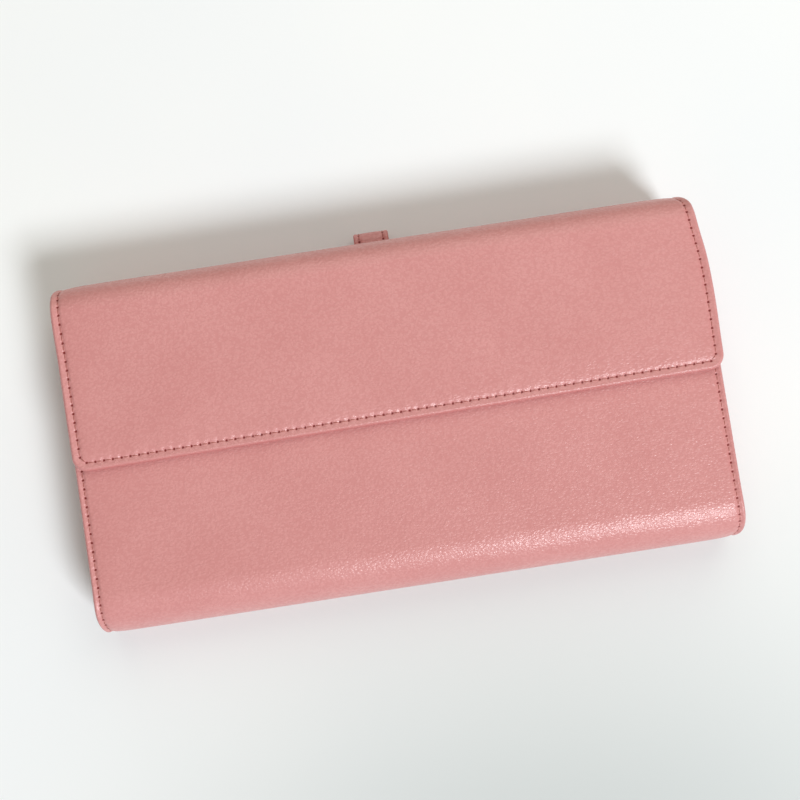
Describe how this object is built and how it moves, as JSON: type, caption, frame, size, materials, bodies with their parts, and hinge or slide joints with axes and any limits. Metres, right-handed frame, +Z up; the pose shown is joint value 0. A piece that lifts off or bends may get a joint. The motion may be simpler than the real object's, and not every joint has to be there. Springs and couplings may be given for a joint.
{
  "type": "long wallet",
  "caption": "Long leather flap wallet lying on its back: half-height flap over a rolled-edge body with bill compartments, card slots, a rear coin pocket and a snap strap.",
  "frame": {"origin": "on the table, under the middle of the whole object's bounding box, strap loop included", "axes": "+Z up out of the flap, away from the rear coin pocket; +Y towards the top roll where the flap turns over; +X to the right along the width, seen from above"},
  "size_m": [0.192, 0.1088, 0.0269],
  "materials": {
    "outer_leather": "satin",
    "lining_leather": "matte",
    "slot_leather": "matte",
    "gusset_leather": "matte",
    "board": "matte",
    "snap_metal": "polished"
  },
  "bodies": {
    "rear_wall": {"rear_leather": "outer_leather", "rear_lining": "lining_leather", "tab_snap_stud": "snap_metal", "tab_snap_eyelet": "snap_metal", "coin_gusset_left": "gusset_leather", "coin_gusset_right": "gusset_leather"},
    "core": {"core_leather": "outer_leather", "core_board": "board", "core_lining": "lining_leather", "card_slot_1_left": "slot_leather", "card_slot_1_right": "slot_leather", "card_slot_2_left": "slot_leather", "card_slot_2_right": "slot_leather", "card_slot_3_left": "slot_leather", "card_slot_3_right": "slot_leather", "tab_root_leather": "outer_leather", "tab_root_lining": "lining_leather", "bill_gusset_rear_left": "gusset_leather", "bill_gusset_rear_right": "gusset_leather", "bill_gusset_front_left": "gusset_leather", "bill_gusset_front_right": "gusset_leather"},
    "front_wall": {"front_leather": "outer_leather", "front_board": "board", "front_lining": "lining_leather", "flap_snap_stud": "snap_metal", "flap_snap_eyelet": "snap_metal"},
    "divider": {"divider_board": "board", "divider_lining_rear": "lining_leather", "divider_lining_front": "lining_leather"},
    "spine": {"spine_leather": "outer_leather", "spine_lining": "lining_leather"},
    "flap": {"flap_leather": "outer_leather", "flap_board": "board", "flap_lining": "lining_leather", "flap_snap_socket": "snap_metal", "flap_snap_cap": "snap_metal"},
    "tab": {"tab_strap_leather": "outer_leather", "tab_strap_lining": "lining_leather", "tab_snap_cap": "snap_metal", "tab_snap_socket": "snap_metal"}
  },
  "joints": [
    {"name": "coin_open", "type": "hinge", "parent": "rear_wall", "child": "core", "pos_m": [0, -0.0544, 0.01205], "axis": [1, 0, 0], "range_deg": [0, 10], "deforming": ["coin_gusset_left", "coin_gusset_right"]},
    {"name": "tab_open", "type": "hinge", "parent": "core", "child": "tab", "pos_m": [0, 0.0544, 0.00355], "axis": [1, 0, 0], "range_deg": [0, 110]},
    {"name": "front_open", "type": "hinge", "parent": "core", "child": "front_wall", "pos_m": [0, -0.0544, 0.01205], "axis": [1, 0, 0], "range_deg": [0, 14], "deforming": ["bill_gusset_front_left", "bill_gusset_front_right"]},
    {"name": "divider_open", "type": "hinge", "parent": "core", "child": "divider", "pos_m": [0, -0.0544, 0.01205], "axis": [1, 0, 0], "range_deg": [0, 7], "deforming": ["bill_gusset_rear_left", "bill_gusset_rear_right"]},
    {"name": "spine_fold", "type": "hinge", "parent": "core", "child": "spine", "pos_m": [0, 0.04576, 0.00864], "axis": [-1, 0, 0], "range_deg": [0, 88]},
    {"name": "flap_open", "type": "hinge", "parent": "spine", "child": "flap", "pos_m": [0, 0.04576, 0.02456], "axis": [-1, 0, 0], "range_deg": [0, 88]}
  ],
  "couplings": [
    {"joint": "tab_open", "follows": "coin_open", "ratio": 11},
    {"joint": "spine_fold", "follows": "flap_open", "ratio": 1},
    {"joint": "front_open", "follows": "flap_open", "ratio": 0.1555},
    {"joint": "divider_open", "follows": "flap_open", "ratio": 0.07775}
  ]
}
